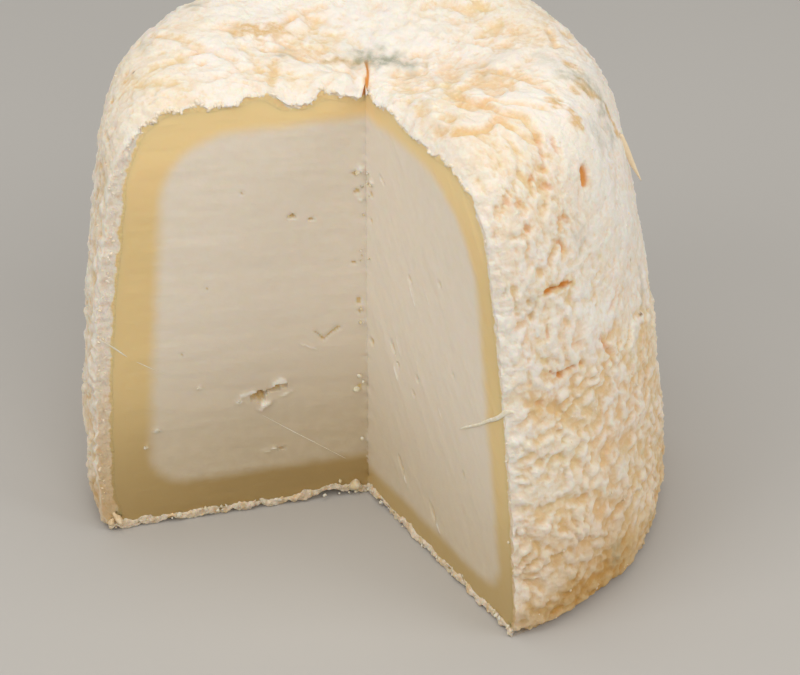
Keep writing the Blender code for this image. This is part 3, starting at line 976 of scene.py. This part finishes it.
# Torn curd left standing proud, in the same terms.
LEFT_FLAPS = (
    ((11.2, 14.1), (0.85, 0.42), -38, 0.50), ((9.2, 15.0), (1.1, 0.28), -20, 0.30),
    ((9.6, 16.5), (0.8, 0.55), -10, 0.30), ((13.3, 15.7), (0.9, 0.3), -10, 0.22),
    ((14.1, 14.9), (0.35, 0.30), 0, 0.4), ((18.5, 17.4), (0.3, 0.2), 0, 0.25),
    ((23.1, 12.6), (0.35, 0.25), 0, 0.3), ((24.4, 10.6), (0.25, 0.2), 0, 0.3),
    ((10.7, 7.8), (0.7, 0.14), -20, 0.3), ((0.6, 42.3), (0.4, 0.4), 0, 0.35),
    ((0.5, 38.6), (0.35, 0.3), 0, 0.4), ((0.6, 22.9), (0.35, 0.3), 0, 0.35),
    ((1.2, 14.2), (0.45, 0.35), 0, 0.35), ((6.5, 20.9), (1.0, 0.12), 30, 0.2))
RIGHT_FLAPS = (
    ((9.3, 31.2), (1.4, 0.12), -58, 0.15), ((12.0, 33.0), (1.2, 0.10), -55, 0.12),
    ((6.3, 23.4), (0.9, 0.12), -60, 0.15), ((5.9, 19.9), (0.9, 0.14), -60, 0.2),
    ((14.5, 20.0), (1.4, 0.10), -55, 0.12), ((1.2, 41.2), (0.4, 0.3), 0, 0.3),
    ((7.6, 7.2), (1.0, 0.14), -60, 0.25), ((14.3, 4.9), (1.0, 0.14), -55, 0.2))

# Close, moist curd: light sinks in and comes back soft, with a low waxy gloss. The creamline has lost
# its whiteness and lets more light through, so it reads deeper and yellower than the core.
CURD_BLEED = (1.0, 0.72, 0.42)
creamy_paste, tree, shader = new_material(
    "ripened_curd", Roughness=0.5, Subsurface_Weight=0.55, Subsurface_Scale=0.0005,
    Subsurface_Radius=CURD_BLEED, Specular_IOR_Level=0.3, IOR=1.42)
in_core = ramp(tree, times_plus(tree, noise(tree, 3.0), 0.8, mark(tree, "core")), -0.5, 1.4)
# Painted shade: the white core is darker and browner low down and towards the heart, and drier by the crack
# at the top.
core_white = mix(tree, ramp(tree, mark(tree, "lowness"), -0.2, 1.05), "#F1E6D6", "#CDBB9C")
mottled = mix(tree, 0.25, core_white, "#E6D8BE")
core_white = mix(tree, ramp(tree, noise(tree, 1.2, 4.0), 0.3, 0.8), core_white, mottled)
paste_colour = mix(tree, in_core, creamline(tree), core_white)
paste_colour = mix(tree, ramp(tree, mark(tree, "hole"), 0.2, 1.0), paste_colour, "#EACF98")
paste_colour = mix(tree, ramp(tree, mark(tree, "flap"), 0.25, 1.3), paste_colour, "#F8F3E8")
finish_material(tree, shader, paste_colour, bump(tree, noise(tree, 0.6), 0.25, 0.08))

right_way = np.array([math.cos(RIGHT_CUT), math.sin(RIGHT_CUT)])
left_way = np.array([math.cos(LEFT_CUT), math.sin(LEFT_CUT)])


def face_ways(left):
    """Directions along a cut face, out from the heart, and off it into the gap."""
    return (left_way, left_out) if left else (right_way, right_out)


paste_points = [paste_skin.reshape(-1, 3)]
paste_faces = [grid_quads(*paste_skin.shape[:2])]
skin_z = paste_skin[..., 2]
on_left = np.arange(PASTE_COLUMNS + 1) * 2 > PASTE_COLUMNS + 1
from_heart = out_from_heart(paste_skin)
skin_shade = np.where(on_left, *(paste_painted_shade_and_drying(from_heart, skin_z, left) for left in (True, False)))
outside_marks = {"core": 0 * skin_z - 4.0, "lowness": skin_shade, "height": skin_z, "hole": 0 * skin_z,
                 "flap": 0 * skin_z}
paste_marks = {key: [values.ravel()] for key, values in outside_marks.items()}
for left, column, holes, flaps, slope in ((True, -1, LEFT_HOLES, LEFT_FLAPS, 4.0),
                                          (False, 0, RIGHT_HOLES, RIGHT_FLAPS, -56.0)):
    way, out_of = face_ways(left)
    grid = face_grid(column, way)
    out, z = grid[..., 0], grid[..., 1]
    hole, flap, push = np.zeros_like(out), np.zeros_like(out), np.zeros_like(out)
    for at, size, tilt, depth in holes:
        one = dent(out, z, at, size, tilt, rough=0.22)
        push -= depth * one
        hole = np.maximum(hole, one)
    for at, size, tilt, depth in flaps:
        one = dent(out, z, at, size, tilt, rough=0.25, rim=1.1)
        push += 0.6 * depth * one
        flap = np.maximum(flap, one)

    # Drag lines along the stroke of the knife. All relief dies out towards the face's borders.
    c, s = math.cos(math.radians(slope)), math.sin(math.radians(slope))
    along, across = c * out + s * z, c * z - s * out
    push += (0.020 * read(drag, along * 0.12 + 7, across, FACE)
             + 0.010 * read(knobs, along * 0.5, across, FACE))
    down_count, out_count = out.shape
    row, step = np.arange(down_count)[:, None], np.arange(out_count)[None, :]
    to_foot, to_side = down_count - 1 - row, out_count - 1 - step
    at_border = ease(row / 6 - 0.25) * ease(to_foot / 3) * ease(to_side / 6 - 0.2)
    push = push * at_border * ease(out / 0.5)
    flat = HEART + out[..., None] * way
    points = np.concatenate([flat, z[..., None]], -1) + out_of * push[..., None]

    # The inner edge is worn a little unevenly.
    worn = 0.04 * along_line(edge_line, z[:, 0] * 1.7 + 60)
    worn = worn + 0.05 * np.clip(along_line(edge_tear, z[:, 0] * 2 + 10), -1, 1)
    points[..., 1] += np.exp(-out / 0.5) * worn[:, None] * at_border * ease((row - 4) / 8)
    faces = grid_quads(down_count, out_count)
    paste_faces.append((faces[:, ::-1] if left else faces) + sum(len(p) for p in paste_points))
    paste_points.append(points.reshape(-1, 3))
    core = into_core(out, z, **(LEFT_CORE if left else RIGHT_CORE))
    for key, values in (("core", core), ("lowness", paste_painted_shade_and_drying(out, z, left)), ("height", z),
                        ("hole", hole), ("flap", flap)):
        paste_marks[key].append(values.ravel())
paste = make_piece("paste", np.concatenate(paste_points), np.concatenate(paste_faces).tolist(), creamy_paste,
                   {key: np.concatenate(values) for key, values in paste_marks.items()})
joined = bmesh.new()                        # the faces are welded to the outside along their borders
joined.from_mesh(paste.data)
bmesh.ops.remove_doubles(joined, verts=joined.verts, dist=0.004 * MM)
joined.to_mesh(paste.data)
joined.free()
paste.data.set_sharp_from_angle(angle=math.radians(50))
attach(paste, "root")
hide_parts("cheese")


# ------------------------------------------------------------
# Foot rind. The drum's underside, where the skin was pressed flat on the drying mat: a crumbly layer
# about a millimetre thick, chipped along both cuts and lifted a little at the heart.
# ------------------------------------------------------------

FOOT_SKIN = 1.0
foot_reach = np.linspace(0.02, 31, 230)
foot_turns = np.linspace(RIGHT_CUT, LEFT_CUT, 34)
# Chips out of the foot's edge along each cut: place, half width, how far up.
LEFT_CHIPS = (
    (28.2, 0.35, 0.55), (22.2, 0.30, 0.85), (21.6, 0.6, 0.35), (15.3, 0.45, 0.4), (9.0, 0.35, 0.5),
    (12.2, 0.3, 0.3), (25.4, 0.4, 0.25))
RIGHT_CHIPS = (
    (3.0, 0.5, 0.4), (7.5, 0.4, 0.3), (12.5, 0.35, 0.45), (18.0, 0.5, 0.3), (23.5, 0.35, 0.4),
    (27.5, 0.4, 0.3))


def foot_points(line, in_from_cut, left, z):
    """Points on the foot at a distance in from one cut."""
    way, out_of = face_ways(left)
    return np.concatenate([HEART + line[:, None] * way, z[:, None]], 1) - out_of * in_from_cut[:, None]


def foot_limit(angle):
    """How far the foot reaches from the heart at a turn."""
    edge = on_drum(np.array([angle]), np.array([FOOT_RADIUS - 0.25]), np.array([0.3]))[0]
    return math.hypot(edge[0] - HEART[0], edge[1] - HEART[1])


def foot_edge(left):
    """Columns over one edge of the slab: two along its top, then down its crumbled side to its underside."""
    line = foot_reach / foot_reach[-1] * foot_limit(LEFT_CUT if left else RIGHT_CUT)
    seed = 120 if left else 20
    ragged = 0.10 * along_line(edge_line, line * 1.1 + seed)
    ragged = ragged + 0.10 * along_line(edge_tear, line * 0.9 + seed)
    over = np.clip(0.16 + 0.6 * ragged, 0.06, 0.32)
    thick = FOOT_SKIN + 0.16 * along_line(edge_line, line * 0.9 + seed + 77)
    thick = thick + 0.14 * along_line(edge_tear, line + seed)
    thick += 0.30 * (read(beads, line * 1.3 + seed, 0 * line + 30) - 0.5)
    lifted = foot_lift(HEART + line[:, None] * face_ways(left)[0])
    chips = LEFT_CHIPS if left else RIGHT_CHIPS
    chipped = sum(high * np.exp(-((line - at) / wide) ** 2) for at, wide, high in chips)
    chipped = chipped + 0.25 * ease(along_line(edge_tear, line * 1.1 + seed + 5) - 0.4)
    chipped += 0.12 * read(beads, line * 1.3 + seed + 50, 0 * line + 10)
    top_z = np.clip(thick + 0.1, 0.9, 1.6) + 0.75 * lifted
    low_z = np.minimum(lifted + chipped, top_z - 0.25)
    edge = [foot_points(line, 0 * line + inwards, left, np.minimum(top_z, 0.9)) for inwards in (1.6, 0.8)]
    for share in (0.0, 0.08, 0.2, 0.32, 0.44, 0.56, 0.68, 0.8, 0.92, 1.0):
        belly = math.sin(math.pi * share) ** 0.6
        z = top_z + (low_z - top_z) * share
        crumbled = read(beads, line * 1.3 + seed, z * 1.3 + 30) + 0.3 * read(fluff, line + seed, z)
        inwards = -over * (0.35 + 0.65 * belly) - 0.20 * (crumbled - 0.4) - 0.04
        edge.append(foot_points(line, inwards, left, z))
    return edge


def foot_spokes(angles, z):
    """Columns out from the heart at some turns, z above the foot's underside."""
    spokes = []
    for angle in angles:
        way = np.array([math.cos(angle), math.sin(angle)])
        flat = HEART + foot_reach[:, None] / foot_reach[-1] * foot_limit(angle) * way
        spokes.append(np.concatenate([flat, z + foot_lift(flat)[:, None]], 1))
    return spokes


foot_loop = foot_edge(False) + foot_spokes(foot_turns[1:-1], 0.02)
turn_back = len(foot_loop)
foot_loop += foot_edge(True)[::-1] + foot_spokes(foot_turns[-2:0:-1], 0.8)
foot_loop = np.stack(foot_loop, 1)
foot_noise = read(fluff, foot_loop[..., 0] * 1.1 + 50, foot_loop[..., 1] * 1.1 + 50)
foot_marks = {key: 0 * foot_noise for key in ("mould", "bare", "pit", "speck", "cream", "lowness", "height")}
foot_marks["crest"] = np.clip(0.85 + 0.20 * foot_noise, 0, 1)
foot_marks["warmth"] = np.clip(0.55 - 0.25 * foot_noise, 0, 1)
# The whole foot is darkened: partly stain, partly painted shade.
foot_marks["stain_and_painted_shade"] = 0 * foot_noise + 0.35
foot_rind = make_piece("foot_rind", foot_loop, tube_faces(*foot_loop.shape[:2], turn_back), bloomy_rind,
                       foot_marks)
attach(foot_rind, "root")


# ------------------------------------------------------------
# Crumbs. Bits of curd and skin that the knife broke off, stuck along the foot, in the heart and on the
# cut faces. They are rough, uneven lumps, from a quarter of a millimetre to one and a half across.
# ------------------------------------------------------------

TABLE = 0.02                # nothing loose lies lower than this


def rough_lump(centre, size, draw, detail=2):
    """Points and faces of one uneven lump, size in mm."""
    mesh = bmesh.new()
    bmesh.ops.create_icosphere(mesh, subdivisions=detail, radius=1.0)
    mesh.verts.ensure_lookup_table()
    points = np.array([vert.co[:] for vert in mesh.verts])
    faces = [[vert.index for vert in face.verts] for face in mesh.faces]
    mesh.free()
    swell = np.ones(len(points))
    for _ in range(5):
        way = draw.normal(size=3)
        swell += 0.13 * np.sin(points @ way * 1.6 + draw.uniform(0, 6.28))
        swell += 0.07 * np.sin(points @ way[::-1] * 4.0 + draw.uniform(0, 6.28))
    turned, _ = np.linalg.qr(draw.normal(size=(3, 3)))
    turned *= np.sign(np.linalg.det(turned))
    stretch = np.array([1.0, draw.uniform(0.6, 0.95), draw.uniform(0.45, 0.8)])
    points = (points * swell[:, None] * stretch) @ turned * size + centre
    points[:, 2] = np.maximum(points[:, 2], TABLE)
    return points, faces


def gathered(bits):
    """Points and faces of many bits as one mesh."""
    points, faces, start = [], [], 0
    for bit_points, bit_faces in bits:
        points.append(bit_points)
        faces += [[n + start for n in face] for face in bit_faces]
        start += len(bit_points)
    return np.concatenate(points), faces


def face_place(left, out, z, off=0.0):
    """Where a place on a cut face lies: out from the heart, height, and how far off the face."""
    way, out_of = face_ways(left)
    return np.append(HEART + out * way, z) + out_of * off


draw = np.random.default_rng(51)
crumb_places = []
for left in (True, False):                              # small ones along the foot
    for _ in range(30):
        out = draw.uniform(0.6, 29.2)
        size = 0.10 + 0.20 * draw.random() ** 2
        place = face_place(left, out, 0.35 + 0.8 * draw.random(), 0.12 + 0.35 * draw.random())
        crumb_places.append((place, size))
for _ in range(12):                                     # in the heart, where the two strokes met
    left = draw.random() < 0.5
    z = draw.choice([41.5, 39.5, 36.0, 31.0, 25.5, 22.5, 14.5, 8.0]) + draw.normal() * 0.7
    crumb_places.append((face_place(left, 0.25 + 0.5 * draw.random(), z, 0.10), 0.10 + 0.14 * draw.random()))
# Larger ones: on the left face or not, out from the heart, height, size.
LARGE_CRUMBS = (
    (True, 0.9, 41.9, 0.36), (True, 0.7, 23.0, 0.30), (True, 1.2, 14.3, 0.34), (True, 14.1, 14.9, 0.22),
    (True, 23.1, 12.6, 0.24), (True, 24.6, 10.6, 0.18), (True, 18.5, 17.4, 0.15), (True, 1.7, 1.2, 0.85),
    (True, 3.2, 2.1, 0.35), (True, 0.7, 7.5, 0.2), (True, 0.9, 16.0, 0.28), (True, 0.5, 15.2, 0.2),
    (True, 0.9, 0.9, 0.32), (False, 1.0, 0.9, 0.30), (False, 2.4, 0.8, 0.26), (False, 9.0, 0.5, 0.22),
    (False, 17.0, 0.5, 0.24), (False, 22.5, 0.5, 0.22), (False, 1.1, 40.8, 0.26), (False, 27.2, 22.0, 0.16),
    (False, 27.9, 12.0, 0.14))
crumb_places += [(face_place(left, out, z, 0.15), size) for left, out, z, size in LARGE_CRUMBS]

# Broken curd: matt and grainy, a little drier and yellower than the fresh cut.
crumb_curd, tree, shader = new_material(
    "crumbled_curd", Roughness=0.7, Subsurface_Weight=0.5, Subsurface_Scale=0.0012,
    Specular_IOR_Level=0.25, IOR=1.42, Subsurface_Radius=CURD_BLEED)
crumb_colour = mix(tree, ramp(tree, noise(tree, 1.2), 0.4, 0.62), "#F0E4CC", "#DEC8A0")
finish_material(tree, shader, crumb_colour, bump(tree, noise(tree, 0.3), 0.4, 0.1))
crumb_bits = [rough_lump(place, size, draw) for place, size in crumb_places]
crumbs = make_piece("crumbs", *gathered(crumb_bits), crumb_curd)
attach(crumbs, "root")


# ------------------------------------------------------------
# Fluff. Tufts of white mould that came loose with the knife and cling to the torn edges of the skin, and
# single grains of it that stand on the lumps of the side.
# ------------------------------------------------------------

draw = np.random.default_rng(52)
tuft_bits = []
# Tufts along the edges: which cut, from and to along the outline, how many, largest size.
for left, first, last, count, largest in ((True, 1.0, 25.0, 110, 0.40), (False, 1.0, 25.0, 90, 0.34),
                                          (True, 25.0, 74.0, 80, 0.30), (False, 25.0, 74.0, 80, 0.18)):
    wall = left_wall if left else right_wall
    for _ in range(count):
        row = int(np.argmin(np.abs(row_at - draw.uniform(first, last))))
        step = draw.integers(0, WALL_STEPS - 3)
        size = largest * (0.35 + 0.65 * draw.random() ** 1.5)
        tuft_bits.append(rough_lump(wall[step][row] - face_ways(left)[1] * 0.45 * size, size, draw))
# Grains on the side, thickest low down.
for _ in range(700):
    row, column = draw.integers(60, len(row_at) - 6), draw.integers(0, len(columns))
    if blister[row, column] > 0.45 and draw.random() < 0.35 + 0.65 * low[row, column]:
        place = outer[row, column] - 0.02 * normal[row, column]
        tuft_bits.append(rough_lump(place, 0.09 + 0.09 * draw.random(), draw, 1))
# Two scraps of skin at the left toe.
tuft_bits.append(rough_lump(face_place(True, 28.0, 1.7, -0.05), 0.8, draw, 3))
tuft_bits.append(rough_lump(face_place(True, 28.8, 1.0, 0.0), 0.6, draw, 3))
tuft_points, tuft_faces = gathered(tuft_bits)

# Loose white mould: dry, dull and open, so light neither sinks in nor glances off.
loose_felt, tree, shader = new_material("loose_felt", Roughness=0.9, Specular_IOR_Level=0.15, IOR=1.4)
tuft_colour = mix(tree, ramp(tree, noise(tree, 1.2), 0.35, 0.65), "#FBF1E1", "#F4E3C6")
# Tufts low down are darker: partly stain, partly painted shade.
tuft_colour = mix(tree, mark(tree, "stain_and_painted_shade"), tuft_colour, "#E6D3B0", "MULTIPLY")
finish_material(tree, shader, tuft_colour, bump(tree, noise(tree, 0.2), 0.4, 0.1))
fluff_tufts = make_piece("fluff", tuft_points, tuft_faces, loose_felt,
                         {"stain_and_painted_shade": 0.1 + 0.5 * ease((28 - tuft_points[:, 2]) / 28)})
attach(fluff_tufts, "root")


# ------------------------------------------------------------
# Threads. What the knife dragged over the cut faces: a strip of skin pulled in across the right
# creamline, and fine raised lines of smeared curd on the left face.
# ------------------------------------------------------------

def ribbon(path, widths, lifts, thick, across_way, off_way, sides=8, steps=24):
    """A flat strip of round section along a path of points: widths and lifts are per path point."""
    path = np.array(path)
    at = np.concatenate([[0], np.cumsum(np.linalg.norm(np.diff(path, axis=0), axis=1))])
    fine = np.linspace(0, at[-1], steps)
    middle = np.stack([np.interp(fine, at, path[:, i]) for i in range(3)], 1)
    for _ in range(6):
        middle[1:-1] = (middle[:-2] + 2 * middle[1:-1] + middle[2:]) / 4
    wide = np.interp(fine, at, widths)
    lift = np.interp(fine, at, lifts)
    along = unit(np.gradient(middle, axis=0))
    off = np.broadcast_to(off_way, along.shape)
    side = np.cross(off, along) if across_way is None else np.broadcast_to(across_way, along.shape)
    rings = []
    for k in range(sides):
        a = 2 * math.pi * k / sides
        rings.append(middle + side * (0.5 * wide * math.cos(a))[:, None]
                     + off * (lift + 0.5 * np.minimum(thick, wide) * math.sin(a))[:, None])
    rings = np.stack(rings, 1)
    caps = [list(range(sides)), [(steps - 1) * sides + n for n in range(sides)][::-1]]
    faces = grid_quads(steps, sides, closed=True).tolist() + caps
    if side[0] @ np.cross(off[0], along[0]) < 0:
        faces = [face[::-1] for face in faces]
    return rings.reshape(-1, 3), faces


# On the left face or not, path by place on the face, widths and lifts along it, thickness.
THREADS = (
    (False, ((27.9, 28.6), (26.9, 28.0), (25.4, 26.3), (23.9, 25.0)), (0.25, 0.55, 0.5, 0.42),
      (-0.05, 0.05, 0.08, 0.07), 0.16),
    (False, ((24.4, 25.5), (22.0, 23.3), (19.3, 21.2), (18.4, 20.4)), (0.4, 0.32, 0.26, 0.10),
      (0.10, 0.06, 0.05, 0.0), 0.20),
    (True, ((11.9, 12.8), (8.6, 10.0), (5.4, 7.4), (2.4, 4.9)), (0.04, 0.10, 0.09, 0.04),
      (0.00, 0.005, 0.005, 0.00), 0.08),
    (True, ((28.6, 25.4), (27.2, 24.2), (26.0, 22.8), (23.4, 20.8), (20.2, 18.7)),
      (0.10, 0.20, 0.12, 0.08, 0.03), (0.00, 0.00, -0.01, -0.01, -0.02), 0.08))
thread_bits = []
for left, path, widths, lifts, thick in THREADS:
    places = [face_place(left, out, z) for out, z in path]
    thread_bits.append(ribbon(places, widths, lifts, thick, None, face_ways(left)[1]))

# The same curd, smeared thin: paler than the face under it.
smeared_curd, tree, shader = new_material(
    "smeared_curd", Roughness=0.55, Subsurface_Weight=0.2, Subsurface_Scale=0.0005,
    Specular_IOR_Level=0.3, IOR=1.42, Subsurface_Radius=CURD_BLEED)
finish_material(tree, shader, mix(tree, ramp(tree, noise(tree, 0.8), 0.35, 0.65), "#FAF2DF", "#F3E6C8"))
threads = make_piece("drag_threads", *gathered(thread_bits), smeared_curd)
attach(threads, "root")


# ------------------------------------------------------------
# Straw. A splinter of the ripening mat's rye straw, stuck in the felt of the right shoulder.
# ------------------------------------------------------------

STRAW_TURN = math.radians(26)
AWAY = np.array([0.93, 0.37, 0.0])              # off the skin there
ACROSS = np.array([0.37, -0.93, 0.0])
straw_top = np.append(HEART + 26.6 * np.array([math.cos(STRAW_TURN), math.sin(STRAW_TURN)]), 45.2)
straw_path = [straw_top - fall * UP + off * AWAY
              for fall, off in ((0, -0.35), (1.6, 0.30), (3.6, 1.05), (5.6, 2.05))]
straw_shape = ribbon(straw_path, (0.62, 0.70, 0.60, 0.10), (0, 0, 0, 0), 0.22, AWAY, ACROSS)

# Dry cereal straw: pale, faintly glossy, with fibres along it.
rye_straw, tree, shader = new_material("rye_straw", Roughness=0.5, Specular_IOR_Level=0.4, IOR=1.45)
finish_material(tree, shader, mix(tree, noise(tree, 0.7, 2.0), "#FBEBCF", "#EDD3A8"))
straw = make_piece("straw", *straw_shape, rye_straw)
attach(straw, "root")


# ------------------------------------------------------------
# Floor and light. A plain pale table, a broad soft lamp overhead and weaker ones at the sides.
# ------------------------------------------------------------

pale_table, tree, shader = new_material("pale_table", Roughness=0.75, Base_Color=hex_colour("#BBB8B3"),
                                        Specular_IOR_Level=0.2)
bpy.ops.mesh.primitive_plane_add(size=3.0)
floor = bpy.context.object
floor.name = "floor"
floor.data.materials.append(pale_table)

world = bpy.data.worlds.new("soft_room")
world.use_nodes = True
room = world.node_tree.nodes["Background"]
room.inputs["Color"].default_value = (1.0, 0.985, 0.96, 1)
room.inputs["Strength"].default_value = 0.40
bpy.context.scene.world = world
bpy.context.scene.view_settings.view_transform = "Standard"


def soft_lamp(name, at, size, power, colour=(1, 1, 1)):
    """A square lamp that faces the cheese."""
    lamp = bpy.data.lights.new(name, "AREA")
    lamp.shape = "SQUARE"
    lamp.size = size
    lamp.energy = power
    lamp.color = colour
    ob = bpy.data.objects.new(name, lamp)
    ob.location = at
    ob.rotation_euler = (-ob.location).to_track_quat("-Z", "Y").to_euler()
    bpy.context.scene.collection.objects.link(ob)


soft_lamp("overhead", (-0.04, -0.03, 0.36), 0.26, 0.355, (1.0, 0.975, 0.94))
soft_lamp("front_left", (-0.20, -0.28, 0.32), 0.22, 0.46, (1.0, 0.99, 0.97))
soft_lamp("front_right", (0.20, -0.28, 0.32), 0.22, 0.39, (1.0, 0.985, 0.96))
soft_lamp("right", (0.40, 0.01, 0.26), 0.25, 0.52)

# Camera: looks down on the cheese from the front, a little to the right of the gap.
CAMERA_YAW = math.radians(22.10)
CAMERA_DOWN = math.radians(35.56)
CAMERA_SEAT = np.array([3.531, -273.572])       # in mm from the heart, before the yaw
CAMERA_HEIGHT = 215.612
camera = bpy.data.cameras.new("camera")
camera.lens = 141.3
camera.sensor_width = 36.0
camera.shift_y = 6.06 / 800
camera.clip_start = 0.01
c, s = math.cos(CAMERA_YAW), math.sin(CAMERA_YAW)
ground = np.array([[c, -s], [s, c]]) @ CAMERA_SEAT + HEART
camera_ob = bpy.data.objects.new("camera", camera)
camera_ob.location = (ground[0] * MM, ground[1] * MM, CAMERA_HEIGHT * MM)
camera_ob.rotation_euler = (math.pi / 2 - CAMERA_DOWN, 0, CAMERA_YAW)
bpy.context.scene.collection.objects.link(camera_ob)
bpy.context.scene.camera = camera_ob
